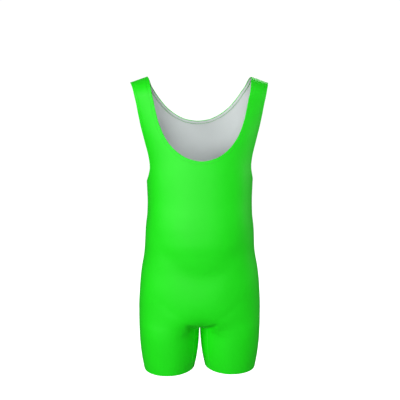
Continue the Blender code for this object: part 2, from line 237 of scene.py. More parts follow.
def ring_depth(y, drop):
    """Depth of the figure in front or behind, whichever side y is on."""
    return np.where(np.asarray(y) < 0, ring_size("front", drop), ring_size("back", drop))


def trunk_points(side, turn, fall):
    """Points of the trunk at turns and falls, vaulted over the shoulder."""
    bend = np.clip(fall / VAULT_HEIGHT, 0, pi / 2)
    height = VAULT_HEIGHT * (1 - np.cos(bend)) + np.maximum(fall - VAULT_HEIGHT * pi / 2, 0)
    drop = height
    for _ in range(8):
        square = ring_size("squareness", drop)
        along_x = np.abs(np.cos(turn) / ring_size("half_width", drop)) ** square
        along_y = np.abs(np.sin(turn) / ring_depth(side + 0 * drop, drop)) ** square
        radius = (along_x + along_y) ** (-1 / square)
        fade = np.clip(1 - (drop / SHOULDER_FADE) ** 2, 0, 1) ** 2
        drop = height + SHOULDER_SLOPE * (radius * np.cos(turn) - SHOULDER_INNER) * fade
    return np.stack([radius * np.cos(turn), side * radius * np.sin(turn) * np.sin(bend), -drop], -1)


def divided_part(drop):
    """How far down the divide a drop is, from 0 at its top to 1 at the crotch."""
    return np.clip((drop - DIVIDE_TOP) / (CROTCH_DROP - DIVIDE_TOP), 0, 1)


def summed_share(drop):
    """Share of the leg form, summed over the height above a drop."""
    power = DIVIDE_POWER + 1
    above = (CROTCH_DROP - DIVIDE_TOP) * divided_part(drop) ** power / power
    return above + np.maximum(drop - CROTCH_DROP, 0)


def softened_share(drop):
    """Share of the leg form at a drop, averaged over a short stretch of height."""
    change = summed_share(drop + SOFT_STRETCH) - summed_share(drop - SOFT_STRETCH)
    return change / (2 * SOFT_STRETCH)


def fork_field(x, y, drop):
    """Zero on the cloth below the chest: one ring blended into two legs."""
    spread = eased((np.abs(x) - SPREAD_START) / SPREAD_WIDTH)
    share = (1 - spread) * divided_part(drop) ** DIVIDE_POWER + spread * softened_share(drop)
    below = drop - FOLD_DROP + FOLD_RISE * x**2 - FOLD_LEAN * (y + FOLD_DEPTH)
    spot = np.exp(-(x / FOLD_REACH) ** 4) * np.clip((-y - FOLD_FRONT) / FOLD_FADE, 0, 1)
    share = share + (1 - share) * eased(0.5 + below / FOLD_WIDTH) * spot
    half_width = ring_size("half_width", drop)
    leg_inner = ring_size("leg_inner", drop)
    thick = np.abs(y / ring_depth(y, drop))
    square = ring_size("squareness", drop)
    whole = np.abs(x / half_width) ** square + thick**square - 1
    ease = np.where(drop < CROTCH_DROP, leg_inner, ring_size("leg_inner", CROTCH_DROP))
    from_middle = np.sqrt(x**2 + ease**2) - (half_width + leg_inner) / 2
    reach = (half_width - leg_inner) / 2
    square = np.where((y < 0) & (from_middle < 0), INNER_SQUARENESS, LEG_SQUARENESS)
    leg = np.abs(from_middle / reach) ** square + (thick / LEG_DEPTH) ** square
    return (1 - share) * whole + share * (leg - 1)


def fork_normals(points):
    """Outward direction of the cloth at points below the chest."""
    small = 0.0004
    x, y, drop = points[:, 0], points[:, 1], -points[:, 2]
    slope = np.stack([
        fork_field(x + small, y, drop) - fork_field(x - small, y, drop),
        fork_field(x, y + small, drop) - fork_field(x, y - small, drop),
        fork_field(x, y, drop - small) - fork_field(x, y, drop + small),
    ], -1)
    return unit(slope)


def cast(start, away_x, away_y, drop, far):
    """Points where level rays from an inner place meet the cloth."""
    near = np.zeros_like(drop)
    for _ in range(44):
        middle = (near + far) / 2
        inside = fork_field(start + middle * away_x, middle * away_y, drop) < 0
        near = np.where(inside, middle, near)
        far = np.where(inside, far, middle)
    return np.stack([start + near * away_x, near * away_y, -drop], -1)


def fork_points(angle, drop):
    """Points at angles round a leg: 0 at the side seam, 90 in front, 270 behind."""
    centre = ring_size("half_width", drop) / 2
    away_x, away_y = np.cos(angle), -np.sin(angle)
    far = np.where(away_x < 0, centre / np.maximum(-away_x, 1e-9), 0.3)
    return cast(centre, away_x, away_y, drop, np.minimum(far, 0.3))


def fork_angle(points):
    """Angles round a leg at which points lie."""
    centre = ring_size("half_width", -points[..., 2]) / 2
    return np.arctan2(-points[..., 1], points[..., 0] - centre) % (2 * pi)


def centre_line(side):
    """Middle of a panel from the level row down to the crotch seam."""
    upper = np.linspace(LEVEL_DROP, DIVIDE_TOP, 80)[:-1]
    lower = DIVIDE_TOP + (CROTCH_DROP - DIVIDE_TOP) * np.sin(np.linspace(0, pi / 2, 600))
    drop = np.concatenate([upper, lower])
    zero = np.zeros_like(drop)
    front = cast(zero, zero, zero - 1, drop, zero + 0.2)
    beyond = fork_angle(front) > np.radians(INSEAM_TURN)
    if side < 0:
        return front[~beyond]
    back = cast(zero, zero, zero + 1, drop, zero + 0.2)
    return np.concatenate([back, front[beyond][::-1][1:]])


def arc_lengths(points):
    """Length along a line at each of its points."""
    return np.concatenate([[0.0], np.cumsum(np.linalg.norm(np.diff(points, axis=0), axis=1))])


def along(lengths, values, places):
    """Values at places along a line that has them at the given lengths."""
    return np.stack([np.interp(places, lengths, column) for column in values.T], -1)


def shares(count, *sizes):
    """Shares from 0 to 1 in steps that change evenly between the given sizes."""
    steps = np.interp(np.linspace(0, 1, count), np.linspace(0, 1, len(sizes)), sizes)
    return np.concatenate([[0.0], np.cumsum(steps)]) / steps.sum()


def edge_line(edges, side, steps):
    """Turns and falls at the given shares of a neck or armhole edge, shoulder first."""
    turn = np.radians([edge.turn for edge in edges])
    drop = np.array([edge.drop for edge in edges])
    fall = np.zeros(len(drop))
    for _ in range(8):
        fall[1:] += (drop + trunk_points(side, turn, fall)[:, 2])[1:]
    step = arc_lengths(np.stack([turn * np.mean(ring_size("half_width", drop)), fall], -1))
    fine = np.linspace(0, step[-1], 800)
    step = np.append(step, 2 * step[-1] - step[-2])
    turn = smooth_curve(step, np.append(turn, 2 * turn[-1] - turn[-2]), fine)
    fall = smooth_curve(step, np.append(fall, fall[-2]), fine)
    lengths = arc_lengths(trunk_points(side, turn, fall))
    return along(lengths, np.stack([turn, fall], -1), lengths[-1] * steps)


def trunk_frame(side, places):
    """Points, changes by turn and by fall, and outward normals at places of the trunk."""
    small = 1e-5
    point = trunk_points(side, places[:, 0], places[:, 1])
    by_turn = (trunk_points(side, places[:, 0] + small, places[:, 1]) - point) / small
    by_fall = (trunk_points(side, places[:, 0], places[:, 1] + small) - point) / small
    return point, by_turn, by_fall, unit(np.cross(by_turn, by_fall) * -side)


def inset_line(line, side, turn_sense, width, leans=None):
    """Places a given width inside an edge, leaning along it by the given shares."""
    leans = np.zeros(len(line)) if leans is None else leans
    _, by_turn, by_fall, _ = trunk_frame(side, line)
    path = np.gradient(line, axis=0)
    path[-1] = (turn_sense, 0.0)
    tangent = unit(path[:, :1] * by_turn + path[:, 1:] * by_fall)
    inward = by_fall - turn_sense * unit(by_turn)
    inward = unit(inward - np.sum(inward * tangent, axis=1)[:, None] * tangent)
    moves = width * (inward + leans[:, None] * tangent)
    result = line.copy()
    for number, move in enumerate(moves):
        basis = np.stack([by_turn[number], by_fall[number]], -1)
        result[number] += np.linalg.lstsq(basis, move, rcond=None)[0]
    result[0, 1] = line[0, 1]
    return result


def even_places(points, places, count, first=None, last=None, crowding=0.0):
    """Values along a row at even or crowded lengths, with a narrow end column if asked."""
    lengths = arc_lengths(points)
    start, stop = first or 0.0, lengths[-1] - (last or 0.0)
    steps = np.linspace(0, 1, count + 1 - (first is not None) - (last is not None))
    steps = start + (stop - start) * (steps * (1 - crowding) + steps**2 * crowding)
    begin = [] if first is None else [0.0]
    end = [] if last is None else [lengths[-1]]
    return along(lengths, places, np.concatenate([begin, steps, end]))


def upper_rows(side, neck_edges):
    """Turns and falls of the strap rows and of the trunk rows down to the level row."""
    neck = edge_line(neck_edges, side, shares(NECK_STEPS, *EDGE_SPACING))
    neck[-1, 0] = pi / 2
    lean = np.zeros(len(neck))
    lean[-3:] = (-0.15, -0.45, -1.0)
    neck_inset = inset_line(neck, side, 1.0, TURNING, lean)
    strap_shares = ARMHOLE_CORNER * shares(STRAP_STEPS, *EDGE_SPACING)
    under_shares = (1 - ARMHOLE_CORNER) * shares(UNDERARM_COLUMNS, 1.0, 1.0, 0.3)
    steps = np.concatenate([strap_shares, ARMHOLE_CORNER + under_shares[1:]])
    armhole = edge_line(ARMHOLE, side, steps)
    armhole[-1, 0] = 0.0
    lean = np.zeros(len(armhole))
    corner = []
    for amount in (-0.6, 0.0, 0.6):
        lean[STRAP_STEPS] = amount
        armhole_inset = inset_line(armhole, side, -1.0, TURNING, lean)
        corner.append(armhole_inset[STRAP_STEPS].copy())
    armhole_inset[STRAP_STEPS] = corner[0]
    armhole_inset[-1, 0] = 0.0
    share = np.linspace(0, 1, 160)
    strap = []
    for row in range(STRAP_STEPS + 1):
        on_neck = row <= NECK_STEPS
        start = neck_inset[row] if on_neck else (pi / 2, neck[-1, 1] + TURNING)
        stop = armhole_inset[row]
        turn = start[0] + (stop[0] - start[0]) * share
        fall = start[1] + (stop[1] - start[1]) * (1 - (1 - share) ** 3)
        path = trunk_points(side, turn, fall)
        inner = STRAP_COLUMNS - (2 if on_neck else 1)
        places = even_places(path, np.stack([turn, fall], -1), inner)
        edge = neck[row:row + 1] if on_neck else neck[:0]
        strap.append(np.concatenate([edge, places, armhole[row:row + 1]]))
    top = np.concatenate([strap[-1], armhole[STRAP_STEPS + 1:]])
    second = top.copy()
    second[:STRAP_COLUMNS - 1, 1] += np.linspace(1.6, 0.7, STRAP_COLUMNS - 1) * TURNING
    second[STRAP_COLUMNS - 1:STRAP_COLUMNS + 1] = corner[1:]
    second[STRAP_COLUMNS + 1:] = armhole_inset[STRAP_STEPS + 1:]
    turn, fall = np.linspace(pi / 2, 0, 200), np.full(200, LEVEL_DROP + VAULT_EXTRA)
    path = trunk_points(side, turn, fall)
    columns = STRAP_COLUMNS + UNDERARM_COLUMNS
    level = even_places(path, np.stack([turn, fall], -1), columns, last=SEAM_COLUMN)
    trunk = [top] + [second + (level - second) * t for t in shares(TRUNK_STEPS, 0.6, 1.0, 1.0)]
    return np.array(strap), np.array(trunk)


def doubled(rows):
    """Rows and columns of places with one more between each two."""
    for axis in (0, 1):
        rows = np.moveaxis(rows, axis, 0)
        finer = np.empty((2 * len(rows) - 1, *rows.shape[1:]))
        finer[::2] = rows
        finer[1::2] = (rows[1:] + rows[:-1]) / 2
        rows = np.moveaxis(finer, 0, axis)
    return rows


def lower_rows(side, columns):
    """Points of the rows from the level row to the fork, and angles and drops of the leg rows."""
    sense = -side
    line = centre_line(side)
    lengths = arc_lengths(line)
    fork = lengths[-1] - TONGUE_LENGTH[side]
    fork_shares = shares(FORK_STEPS, 1.2, 1.0, 0.35)
    middle = along(lengths, line, fork * fork_shares)
    tongue_shares = shares(TONGUE_COLUMNS[side], 1.2, 1.0, 0.4)
    tongue = along(lengths, line, fork + TONGUE_LENGTH[side] * tongue_shares)
    side_drops = LEVEL_DROP + (SIDE_DROP_AT_FORK - LEVEL_DROP) * fork_shares
    stop = 0.0 if side < 0 else 2 * pi
    rows = []
    for inner, side_drop, share in zip(middle, side_drops, fork_shares):
        angle = np.linspace(fork_angle(inner), stop, 400)
        drop = np.linspace(-inner[2], side_drop, 400)
        path = fork_points(angle, drop)
        path[0] = inner
        crowding = MIDDLE_CROWDING * share
        narrow = SEAM_COLUMN * (1 - share / 2)
        path_places = np.stack([angle, drop], -1)
        places = even_places(path, path_places, columns, last=narrow, crowding=crowding)
        points = fork_points(places[:, 0], places[:, 1])
        points[0] = inner
        rows.append(points)
    places = np.concatenate([np.stack([fork_angle(tongue), -tongue[:, 2]], -1)[::-1][:-1], places])
    top = np.concatenate([tongue[::-1][:-1], rows[-1]])
    angle, drop = np.linspace(np.radians(INSEAM_TURN), stop, 400), np.full(400, HEM_DROP)
    path = fork_points(angle, drop)
    narrow = SEAM_COLUMN / 2
    hem = even_places(path, np.stack([angle, drop], -1), len(top) - 1, narrow, narrow)
    legs = [top]
    for t in shares(LEG_STEPS, 0.30, 1.0, 1.0)[1:]:
        row = places + (hem - places) * t
        legs.append(fork_points(row[:, 0], row[:, 1]))
    return np.array(rows), np.array(legs)


def crease_rise(points):
    """How far the soft creases raise or sink the cloth at points of either half."""
    across, drop = np.abs(points[:, 0]), -points[:, 2]
    rise = np.zeros(len(points))
    for crease in CREASES:
        lean = np.radians(crease.tilt)
        right, down = across - crease.across, drop - crease.drop
        run = right * np.cos(lean) - down * np.sin(lean)
        off = right * np.sin(lean) + down * np.cos(lean) - crease.bow * right**2
        spot = np.exp(-(run / crease.length) ** 2 - (off / crease.width) ** 2)
        on_side = np.clip(0.5 + crease.side * points[:, 1] / 0.03, 0, 1)
        rise += crease.rise * spot * on_side
    return rise


def add_sheet(name, points, quads, materials, maps=None):
    """A smooth mesh in the scene, with a knit map if one is given."""
    mesh = bpy.data.meshes.new(name)
    mesh.from_pydata(points.tolist(), [], quads)
    for cloth in materials:
        mesh.materials.append(cloth)
    mesh.polygons.foreach_set("use_smooth", [True] * len(mesh.polygons))
    if maps is not None:
        layer = mesh.uv_layers.new(name="knit")
        corners = np.empty(len(mesh.loops), int)
        mesh.loops.foreach_get("vertex_index", corners)
        layer.data.foreach_set("uv", maps[corners].ravel())
    result = bpy.data.objects.new(name, mesh)
    bpy.context.scene.collection.objects.link(result)
    return result


def thicken(piece, wall, inner_slot):
    """Gives a sheet its thickness inward, with softly rounded cut edges."""
    solid = piece.modifiers.new("wall", "SOLIDIFY")
    solid.thickness = wall
    solid.offset = -1.0
    solid.material_offset = inner_slot
    rim = piece.modifiers.new("rim", "BEVEL")
    rim.limit_method = "ANGLE"
    rim.angle_limit = np.radians(60)
    rim.width = wall * 0.3
    rim.segments = 2


def mirrored(points, quads, maps):
    """Points, faces and knit map of a half with its mirror image, joined at the middle."""
    on_middle = np.abs(points[:, 0]) < 1e-7
    partner = np.where(on_middle, np.arange(len(points)), 0)
    others = np.nonzero(~on_middle)[0]
    partner[others] = len(points) + np.arange(len(others))
    both = np.concatenate([points, points[others] * MIRROR])
    faces = [tuple(face) for face in quads]
    faces += [tuple(int(partner[corner]) for corner in face[::-1]) for face in quads]
    return both, faces, np.concatenate([maps, maps[others] * [-1, 1]])


def point_tree(points):
    """Points laid out so that the ones near a place are found quickly."""
    tree = KDTree(len(points))
    for number, point in enumerate(points):
        tree.insert(point, number)
    tree.balance()
    return tree


def from_stitches(points):
    """How far points are from the lines where the hems are sewn."""
    paths = neck_path(TURNING, plain=True), armhole_path(TURNING, plain=True)
    tree = point_tree(np.concatenate([place for place, _ in paths]))
    return np.array([tree.find(point)[2] for point in points])


def panel_mesh(side, neck_edges):
    """Points, faces and knit map of the right half of a panel, joined up from its blocks."""
    strap, trunk = upper_rows(side, neck_edges)
    columns = 2 * (STRAP_COLUMNS + UNDERARM_COLUMNS)
    fork, legs = lower_rows(side, columns)
    points, normals, maps, quads = [], [], [], []

    def lay(block, directions, knit):
        first = len(points)
        rows, width = block.shape[:2]
        points.extend(block.reshape(-1, 3))
        normals.extend(directions.reshape(-1, 3))
        maps.extend(knit.reshape(-1, 2))
        for row in range(rows - 1):
            for column in range(width - 1):
                a = first + row * width + column
                face = (a, a + width, a + width + 1, a + 1)
                quads.append(face[::-1] if side > 0 else face)

    for rows in (doubled(strap), doubled(trunk)):
        flat = rows.reshape(-1, 2)
        place, _, _, normal = trunk_frame(side, flat)
        place[np.abs(flat[:, 0] - pi / 2) < 1e-9, 0] = 0.0
        knit = np.stack([flat[:, 0] * KNIT_RADIUS, -flat[:, 1]], -1)
        lay(place.reshape(*rows.shape[:2], 3), normal.reshape(*rows.shape[:2], 3), knit)
        level, level_across = place[-columns - 1:], knit[-columns - 1:, 0]
    fork[0] = level
    fork[:, 0, 0] = 0.0
    knit = np.stack([np.broadcast_to(level_across, fork.shape[:2]), fork[..., 2] - VAULT_EXTRA], -1)
    lay(fork, fork_normals(fork.reshape(-1, 3)), knit)
    tongue = legs[0, :TONGUE_COLUMNS[side] + 1]
    tongue[:, 0] = 0.0
    beyond = arc_lengths(tongue[::-1])[::-1][:-1] + level_across[0]
    across = np.concatenate([beyond, level_across])
    knit = np.stack([np.broadcast_to(across, legs.shape[:2]), legs[..., 2] - VAULT_EXTRA], -1)
    lay(legs, fork_normals(legs.reshape(-1, 3)), knit)
    points, normals = np.array(points), np.array(normals)
    rise = crease_rise(points) - HEM_PRESS * np.exp(-(from_stitches(points) / PRESS_WIDTH) ** 2)
    return points + normals * rise[:, None], quads, np.array(maps)


def welded(points, quads, maps):
    """The same sheet with points that meet joined into one."""
    tree = point_tree(points)
    first = np.array([min(found[1] for found in tree.find_range(point, 2e-5)) for point in points])
    kept = np.unique(first)
    number = np.zeros(len(points), int)
    number[kept] = np.arange(len(kept))
    same = number[first]
    faces = [tuple(int(same[corner]) for corner in face) for face in quads]
    return points[kept], [face for face in faces if len(set(face)) == 4], maps[kept]


def settled(side, places, plain=False):
    """Points on the creased cloth of the trunk, and their outward normals."""
    point, _, _, normal = trunk_frame(side, places)
    return point if plain else point + normal * crease_rise(point)[:, None], normal


def run_together(back, front, last=None):
    """Places and normals of a back line and a front line as one, from back to front."""
    return tuple(np.concatenate([b[::-1], f[1:last]]) for b, f in zip(back, front))


def neck_path(width, plain=False):
    """Points and normals of the neck line at a width inside the edge, from back to front."""
    halves = []
    for side, edges in ((BACK, NECK_BACK), (FRONT, NECK_FRONT)):
        line = edge_line(edges, side, np.linspace(0, 1, 160))
        line[-1, 0] = pi / 2
        place, normal = settled(side, inset_line(line, side, 1.0, width) if width else line, plain)
        place[-1, 0] = normal[-1, 0] = 0.0
        halves.append((place, normal))
    return run_together(*halves)


def armhole_path(width, plain=False):
    """Points and normals of the armhole line on the wearer's left, a closed ring."""
    halves = []
    for side in (BACK, FRONT):
        line = edge_line(ARMHOLE, side, np.linspace(0, 1, 160))
        line[-1, 0] = 0.0
        inner = inset_line(line, side, -1.0, width) if width else line
        inner[-1, 0] = 0.0
        halves.append(settled(side, inner, plain))
    return run_together(*halves, last=-1)


def closed_neck(width):
    """The whole neck line, both halves, as a closed ring."""
    return tuple(np.concatenate([line, line[-2:0:-1] * MIRROR]) for line in neck_path(width))


def wrapped_quads(rows, columns, closed_rows=False):
    """Faces between rows of points whose columns close in a ring, and rows too if asked."""
    def corner(row, column):
        return row % rows * columns + column % columns

    return [
        (corner(i, j), corner(i + 1, j), corner(i + 1, j + 1), corner(i, j + 1))
        for i in range(rows if closed_rows else rows - 1) for j in range(columns)
    ]


def turned_edge(name, place, normal, deep, wide, cloth):
    """Rounded fold of cloth that runs along a closed edge, deep through the cloth."""
    tangent = unit(np.roll(place, -1, axis=0) - np.roll(place, 1, axis=0))
    across = unit(np.cross(tangent, normal))
    angle = np.linspace(0, 2 * pi, 12, endpoint=False)
    middle = place - normal * deep / 2
    rim = np.cos(angle)[None, :, None] * normal[:, None] * deep / 2
    rim = rim + np.sin(angle)[None, :, None] * across[:, None] * wide / 2
    points = (middle[:, None] + rim).reshape(-1, 3)
    return add_sheet(name, points, wrapped_quads(len(place), len(angle), True), [cloth])


def hem_sheet(name, path, layers, gap, wall, cloth):
    """Turned strip inside an edge, with rows at the given widths."""
    rows = []
    for width in layers:
        place, normal = path(width)
        rows.append(place - normal * gap)
    quads = wrapped_quads(len(layers), len(rows[0]))
    result = add_sheet(name, np.concatenate(rows), quads, [cloth])
    thicken(result, wall, 0)
    return result


def resampled(place, normal, spacing, closed):
    """Points and normals of a line at even spacing."""
    if closed:
        place = np.concatenate([place, place[:1]])
        normal = np.concatenate([normal, normal[:1]])
    lengths = arc_lengths(place)
    count = max(int(round(lengths[-1] / spacing)), 2)
    at = np.linspace(0, lengths[-1], count + 1)
    return along(lengths, place, at), along(lengths, normal, at)


def tubes(paths, ups, radius, sides=6, taper=None):
    """Points and faces of many thin tubes, each along a short path with the same steps."""
    paths, ups = np.asarray(paths), np.asarray(ups)
    tangent = unit(np.gradient(paths, axis=1))
    across = unit(np.cross(tangent, ups))
    up = np.cross(across, tangent)
    angle = np.linspace(0, 2 * pi, sides, endpoint=False)
    size = radius * (np.ones(paths.shape[1]) if taper is None else np.asarray(taper))
    size = size[None, :, None, None]
    ring = np.cos(angle)[None, None, :, None] * up[:, :, None]
    ring = ring + np.sin(angle)[None, None, :, None] * across[:, :, None]
    points = paths[:, :, None] + ring * size
    count, steps = paths.shape[:2]
    quads = []
    for tube in range(count):
        base = tube * steps * sides
        for step in range(steps - 1):
            for j in range(sides):
                a, b = base + step * sides + j, base + step * sides + (j + 1) % sides
                quads.append((a, b, b + sides, a + sides))
        quads.append(tuple(base + j for j in range(sides))[::-1])
        quads.append(tuple(base + (steps - 1) * sides + j for j in range(sides)))
    return points.reshape(-1, 3), quads


def stitch_row(place, normal, length, gap, radius):
    """Short stitches round a closed line, their ends sunk in the cloth."""
    spots = 6
    fine, up = resampled(place, normal, (length + gap) / (spots + 2), True)
    share = np.linspace(0, 1, spots)
    sunk = np.sin(share * pi) * 0.9 * radius - 0.35 * radius
    paths, ups = [], []
    for start in range(0, len(fine) - spots, spots + 2):
        piece, lift = fine[start:start + spots], up[start:start + spots]
        paths.append(piece + lift * sunk[:, None])
        ups.append(lift)
    taper = 0.45 + 0.55 * np.sin(share * pi) ** 0.5
    return tubes(paths, ups, radius, taper=taper)


def zigzag(place, normal, swing, radius, closed=False):
    """One thread that crosses a seam from side to side."""
    fine, up = resampled(place, normal, THREAD_PITCH / 2, closed)
    across = unit(np.cross(unit(np.gradient(fine, axis=0)), up))
    sense = np.where(np.arange(len(fine)) % 2, 1.0, -1.0)[:, None]
    outer = fine + across * sense * swing / 2
    crossing = fine[:-1] / 2 + fine[1:] / 2 + (up[:-1] + up[1:]) / 2 * radius * 0.7
    path = np.empty((len(outer) + len(crossing), 3))
    path[::2], path[1::2] = outer, crossing
    ups = np.repeat(up, 2, axis=0)[:len(path)]
    return tubes([path], [ups], radius)


def joined(parts):
    """Several lots of points and faces as one."""
    points, quads, first = [], [], 0
    for lot, faces in parts:
        points.append(lot)
        quads += [tuple(corner + first for corner in face) for face in faces]
        first += len(lot)
    return np.concatenate(points), quads


def flipped(lot):
    """Mirror image of a lot of points and faces."""
    points, faces = lot
    return points * MIRROR, [face[::-1] for face in faces]


def side_seam():
    """Points and normals of the side seam on the wearer's left, armhole to hem."""
    drop = np.linspace(ARMHOLE_DROP + 0.001, HEM_DROP - 0.0005, 220)
    zero = np.zeros_like(drop)
    place = np.stack([ring_size("half_width", drop), zero, -drop], -1)
    normal = np.tile([1.0, 0.0, 0.0], (len(drop), 1))
    return place + normal * crease_rise(place)[:, None], normal


def inseam():
    """Points and normals of the inseam, from one leg edge through the crotch to the other."""
    _, legs = lower_rows(FRONT, 2 * (STRAP_COLUMNS + UNDERARM_COLUMNS))
    place = legs[:, 0].copy()
    place[0, 0] = 0.0
    normal = fork_normals(place)
    normal[0, 0] = 0.0
    return tuple(np.concatenate([line[::-1], line[1:] * MIRROR]) for line in (place, normal))


def shoulder_seam():
    """Points and normals of the seam over the left strap."""
    turn = np.linspace(np.radians(NECK_FRONT[0].turn), np.radians(ARMHOLE[0].turn), 30)
    places = np.stack([turn, np.full(30, 1e-4)], -1)
    return settled(FRONT, places)


def node_maker(tree):
    """Short way to add a shader node, set its inputs and link others into it."""
    def make(kind, links=(), **settings):
        node = tree.nodes.new(kind)
        for name, value in settings.items():
            setattr(node, name, value)
        for socket, source in links:
            if isinstance(source, (int, float, tuple)):
                node.inputs[socket].default_value = source
            else:
                tree.links.new(source, node.inputs[socket])
        return node
    return make


def new_material(name):
    """A material with the start of its nodes."""
    result = bpy.data.materials.new(name)
    result.use_nodes = True
    return result, node_maker(result.node_tree)


def finish_material(result, make, colour, shade, relief, **settings):
    """Joins a material's shaded colour and relief to its shader, and sets the shader's numbers."""
    shader = result.node_tree.nodes["Principled BSDF"]
    tint = make("ShaderNodeHueSaturation", (("Value", shade), ("Color", (*colour, 1.0))))
    result.node_tree.links.new(tint.outputs[0], shader.inputs["Base Color"])
    result.node_tree.links.new(relief, shader.inputs["Normal"])
    for socket, value in settings.items():
        shader.inputs[socket.replace("_", " ")].default_value = value
    return result


def knit_material(name, colour, knit, strength, roughness, specular):
    """Fine weft knit: loops in courses and wales on the cloth's own map, with colour drift."""
    cloth, make = new_material(name)

    def maths(operation, first, second=0.0):
        return make("ShaderNodeMath", ((0, first), (1, second)), operation=operation).outputs[0]

    place = make("ShaderNodeUVMap", uv_map="knit").outputs[0]
    split = make("ShaderNodeSeparateXYZ", ((0, place),))
    wale = maths("DIVIDE", split.outputs[0], knit.wale)
    leg = maths("ABSOLUTE", maths("SUBTRACT", maths("FRACT", wale), 0.5))
    course = maths("DIVIDE", split.outputs[1], knit.wale * 0.8)
    loop = maths("SINE", maths("MULTIPLY", maths("ADD", course, leg), 2 * pi))
    rib = maths("SINE", maths("MULTIPLY", maths("FRACT", wale), pi))
    height = maths("ADD", maths("MULTIPLY", loop, 0.35), rib)
    relief = make("ShaderNodeBump", (
        ("Strength", strength), ("Distance", knit.depth), ("Height", height),
    ))
    spots = make("ShaderNodeTexCoord").outputs["Object"]
    drift = make("ShaderNodeTexNoise", (("Vector", spots), ("Scale", 9.0), ("Detail", 3.0)))
    fibre = make("ShaderNodeTexNoise", (("Vector", spots), ("Scale", 900.0), ("Detail", 2.0)))
    broad, fine = maths("MULTIPLY", drift.outputs[0], 0.6), maths("MULTIPLY", fibre.outputs[0], 0.4)
    shade = make("ShaderNodeMapRange", (
        ("Value", maths("ADD", broad, fine)),
        ("From Min", 0.3), ("From Max", 0.7), ("To Min", 0.955), ("To Max", 1.03),
    ))
    return finish_material(cloth, make, colour, shade.outputs[0], relief.outputs[0],
                           Roughness=roughness, Specular_IOR_Level=specular)


def thread_material(name, colour, roughness):
    """Spun thread: fine turns of twist along its surface."""
    thread, make = new_material(name)
    spots = make("ShaderNodeTexCoord").outputs["Object"]
    twist = make("ShaderNodeTexNoise", (("Vector", spots), ("Scale", 2500.0), ("Detail", 1.0)))
    turns = twist.outputs[0]
    shade = make("ShaderNodeMapRange", (("Value", turns), ("To Min", 0.85), ("To Max", 1.1)))
    relief = make("ShaderNodeBump", (("Strength", 0.3), ("Distance", 0.0001), ("Height", turns)))
    return finish_material(thread, make, colour, shade.outputs[0], relief.outputs[0],
                           Roughness=roughness, Sheen_Weight=0.1)


def material(name):
    """A material of the singlet, made the first time it is asked for."""
    if name in bpy.data.materials:
        return bpy.data.materials[name]
    knit, sewing = bpy.context.scene.singlet_cloth, bpy.context.scene.singlet_sewing
    if name == "green_knit":
        return knit_material(name, tuple(knit.face_colour), knit, 0.25, 0.55, 0.42)
    if name == "inside_knit":
        return knit_material(name, tuple(knit.inside_colour), knit, 0.3, 0.80, 0.25)
    if name == "edge_thread":
        return thread_material(name, tuple(sewing.thread_colour), 0.6)
    return thread_material(name, tuple(sewing.seam_colour), 0.55)


def sewn_on(piece):
    """Lets a fold or thread move with the panels."""
    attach(piece, "root")


def towards(side_angle, height_angle):
    """Direction at an angle round the singlet from its front and an angle above level."""
    level = np.cos(height_angle)
    return Vector((np.sin(side_angle) * level, -np.cos(side_angle) * level, np.sin(height_angle)))


def looking_at(name, data, target, away, distance):
    """A lamp or camera at a distance from the point that it looks at."""
    result = bpy.data.objects.new(name, data)
    result.location = target + away * distance
    result.rotation_mode = "QUATERNION"
    result.rotation_quaternion = (-away).to_track_quat("-Z", "Y")
    bpy.context.scene.collection.objects.link(result)
    return result


class SingletCloth(bpy.types.PropertyGroup):
    """Sizes and colours of the cloth."""

    wall: bpy.props.FloatProperty(
        name="Cloth thickness", description="Thickness of the panel cloth",
        default=0.0015, min=0.0003, max=0.004, precision=4, subtype="DISTANCE", unit="LENGTH",
    )
    hem_wall: bpy.props.FloatProperty(
        name="Hem thickness", description="Thickness of the cloth turned inside at an edge",
        default=0.0010, min=0.0003, max=0.003, precision=4, subtype="DISTANCE", unit="LENGTH",
    )
    hem_width: bpy.props.FloatProperty(
        name="Hem width", description="Width of the cloth turned inside at an edge",
        default=0.0080, min=0.004, max=0.02, precision=4, subtype="DISTANCE", unit="LENGTH",
    )
    wale: bpy.props.FloatProperty(
        name="Wale spacing", description="Distance between neighbouring columns of knit loops",
        default=0.0007, min=0.0002, max=0.005, precision=5, subtype="DISTANCE", unit="LENGTH",
    )
    depth: bpy.props.FloatProperty(
        name="Knit depth", description="Height of the knit loops",
        default=0.00012, min=0.0, max=0.001, precision=5, subtype="DISTANCE", unit="LENGTH",
    )
    face_colour: bpy.props.FloatVectorProperty(
        name="Face colour", description="Colour of the outside of the cloth",
        default=(0.008, 0.86, 0.003), size=3, min=0, max=1, subtype="COLOR",
    )
    inside_colour: bpy.props.FloatVectorProperty(
        name="Inside colour", description="Colour of the undyed inside of the cloth",
        default=(0.68, 0.72, 0.72), size=3, min=0, max=1, subtype="COLOR",
    )


